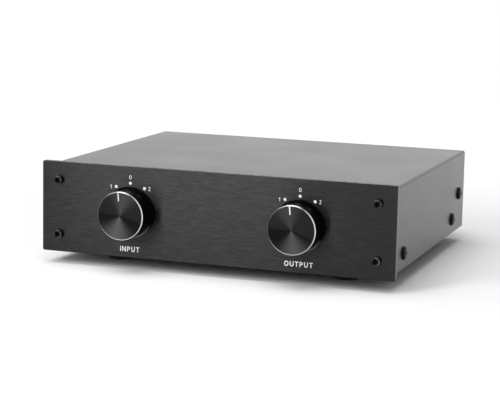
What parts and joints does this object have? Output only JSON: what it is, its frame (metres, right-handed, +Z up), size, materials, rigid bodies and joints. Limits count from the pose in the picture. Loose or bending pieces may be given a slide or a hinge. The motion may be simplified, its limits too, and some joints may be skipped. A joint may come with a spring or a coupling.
{
  "type": "speaker selector switch",
  "caption": "Flat black metal box with turn switches behind a thick brushed front panel and screw terminals on the back, for choosing amplifiers and loudspeakers.",
  "frame": {"origin": "centre of the bounding box's bottom face: X = 0 mid-width, Y = 0 midway from knob faces to terminal caps, Z = 0 on the floor under the feet", "axes": "+X to the right seen from the front, +Y from the front panel towards the back, +Z up"},
  "size_m": [0.241, 0.2442, 0.068],
  "materials": {
    "anodised_panel": "black anodised, brushed along its length, cut edges satin",
    "painted_case": "black powder coat, satin",
    "anodised_knob": "black anodised, face turned with fine rings, bright cut rim and pointer",
    "black_screw": "black oxide",
    "zinc_steel": "zinc plated",
    "spring_steel": "bright",
    "foot_rubber": "matt black",
    "plated_brass": "gold plated",
    "red_plastic": "translucent red, plain",
    "black_plastic": "black",
    "red_insulation": "red wire insulation",
    "black_insulation": "black wire insulation",
    "wafer_board": "brown laminate",
    "rotor_plastic": "off white"
  },
  "bodies": {
    "case": {"front_panel": "anodised_panel", "front_panel_screws": "black_screw", "panel_clinch_nuts": "zinc_steel", "chassis": "painted_case", "rear_panel": "painted_case", "rear_panel_screws": "black_screw", "top_cover": "painted_case", "cover_screws": "black_screw", "feet": "foot_rubber", "foot_screws": "zinc_steel", "foot_nuts": "zinc_steel", "terminal_studs": "plated_brass", "red_collars": "red_plastic", "black_collars": "black_plastic", "terminal_insulators": "black_plastic", "terminal_nuts": "plated_brass", "solder_tags": "plated_brass", "red_wires": "red_insulation", "black_wires": "black_insulation", "bushing_nuts": "zinc_steel", "lock_washers": "zinc_steel", "detent_springs": "spring_steel", "tie_bolts": "zinc_steel", "wafer_spacers": "plated_brass", "amplifier_switch_frame": "zinc_steel", "amplifier_wafers": "wafer_board", "amplifier_contacts": "plated_brass", "speaker_switch_frame": "zinc_steel", "speaker_wafers": "wafer_board", "speaker_contacts": "plated_brass"},
    "amplifier_dial": {"amplifier_knob": "anodised_knob", "amplifier_set_screw": "black_screw", "amplifier_shaft": "zinc_steel", "amplifier_detent_star": "zinc_steel", "amplifier_rotors": "rotor_plastic", "amplifier_rotor_blades": "plated_brass"},
    "speaker_dial": {"speaker_knob": "anodised_knob", "speaker_set_screw": "black_screw", "speaker_shaft": "zinc_steel", "speaker_detent_star": "zinc_steel", "speaker_rotors": "rotor_plastic", "speaker_rotor_blades": "plated_brass"},
    "amplifier_1_left_red_terminal": {"amplifier_1_left_red_cap": "red_plastic"},
    "amplifier_1_left_black_terminal": {"amplifier_1_left_black_cap": "black_plastic"},
    "amplifier_1_right_red_terminal": {"amplifier_1_right_red_cap": "red_plastic"},
    "amplifier_1_right_black_terminal": {"amplifier_1_right_black_cap": "black_plastic"},
    "amplifier_2_left_red_terminal": {"amplifier_2_left_red_cap": "red_plastic"},
    "amplifier_2_left_black_terminal": {"amplifier_2_left_black_cap": "black_plastic"},
    "amplifier_2_right_red_terminal": {"amplifier_2_right_red_cap": "red_plastic"},
    "amplifier_2_right_black_terminal": {"amplifier_2_right_black_cap": "black_plastic"},
    "speaker_1_left_red_terminal": {"speaker_1_left_red_cap": "red_plastic"},
    "speaker_1_left_black_terminal": {"speaker_1_left_black_cap": "black_plastic"},
    "speaker_1_right_red_terminal": {"speaker_1_right_red_cap": "red_plastic"},
    "speaker_1_right_black_terminal": {"speaker_1_right_black_cap": "black_plastic"},
    "speaker_2_left_red_terminal": {"speaker_2_left_red_cap": "red_plastic"},
    "speaker_2_left_black_terminal": {"speaker_2_left_black_cap": "black_plastic"},
    "speaker_2_right_red_terminal": {"speaker_2_right_red_cap": "red_plastic"},
    "speaker_2_right_black_terminal": {"speaker_2_right_black_cap": "black_plastic"}
  },
  "joints": [
    {"name": "amplifier_switch_turn", "type": "hinge", "parent": "case", "child": "amplifier_dial", "pos_m": [-0.0577, -0.1154, 0.038], "axis": [0, 1, 0], "range_deg": [-30, 30]},
    {"name": "speaker_switch_turn", "type": "hinge", "parent": "case", "child": "speaker_dial", "pos_m": [0.0577, -0.1154, 0.038], "axis": [0, 1, 0], "range_deg": [-30, 30]},
    {"name": "amplifier_1_left_red_unscrew", "type": "slide", "parent": "case", "child": "amplifier_1_left_red_terminal", "axis": [0, 1, 0], "range_m": [0, 0.005]},
    {"name": "amplifier_1_left_black_unscrew", "type": "slide", "parent": "case", "child": "amplifier_1_left_black_terminal", "axis": [0, 1, 0], "range_m": [0, 0.005]},
    {"name": "amplifier_1_right_red_unscrew", "type": "slide", "parent": "case", "child": "amplifier_1_right_red_terminal", "axis": [0, 1, 0], "range_m": [0, 0.005]},
    {"name": "amplifier_1_right_black_unscrew", "type": "slide", "parent": "case", "child": "amplifier_1_right_black_terminal", "axis": [0, 1, 0], "range_m": [0, 0.005]},
    {"name": "amplifier_2_left_red_unscrew", "type": "slide", "parent": "case", "child": "amplifier_2_left_red_terminal", "axis": [0, 1, 0], "range_m": [0, 0.005]},
    {"name": "amplifier_2_left_black_unscrew", "type": "slide", "parent": "case", "child": "amplifier_2_left_black_terminal", "axis": [0, 1, 0], "range_m": [0, 0.005]},
    {"name": "amplifier_2_right_red_unscrew", "type": "slide", "parent": "case", "child": "amplifier_2_right_red_terminal", "axis": [0, 1, 0], "range_m": [0, 0.005]},
    {"name": "amplifier_2_right_black_unscrew", "type": "slide", "parent": "case", "child": "amplifier_2_right_black_terminal", "axis": [0, 1, 0], "range_m": [0, 0.005]},
    {"name": "speaker_1_left_red_unscrew", "type": "slide", "parent": "case", "child": "speaker_1_left_red_terminal", "axis": [0, 1, 0], "range_m": [0, 0.005]},
    {"name": "speaker_1_left_black_unscrew", "type": "slide", "parent": "case", "child": "speaker_1_left_black_terminal", "axis": [0, 1, 0], "range_m": [0, 0.005]},
    {"name": "speaker_1_right_red_unscrew", "type": "slide", "parent": "case", "child": "speaker_1_right_red_terminal", "axis": [0, 1, 0], "range_m": [0, 0.005]},
    {"name": "speaker_1_right_black_unscrew", "type": "slide", "parent": "case", "child": "speaker_1_right_black_terminal", "axis": [0, 1, 0], "range_m": [0, 0.005]},
    {"name": "speaker_2_left_red_unscrew", "type": "slide", "parent": "case", "child": "speaker_2_left_red_terminal", "axis": [0, 1, 0], "range_m": [0, 0.005]},
    {"name": "speaker_2_left_black_unscrew", "type": "slide", "parent": "case", "child": "speaker_2_left_black_terminal", "axis": [0, 1, 0], "range_m": [0, 0.005]},
    {"name": "speaker_2_right_red_unscrew", "type": "slide", "parent": "case", "child": "speaker_2_right_red_terminal", "axis": [0, 1, 0], "range_m": [0, 0.005]},
    {"name": "speaker_2_right_black_unscrew", "type": "slide", "parent": "case", "child": "speaker_2_right_black_terminal", "axis": [0, 1, 0], "range_m": [0, 0.005]}
  ]
}
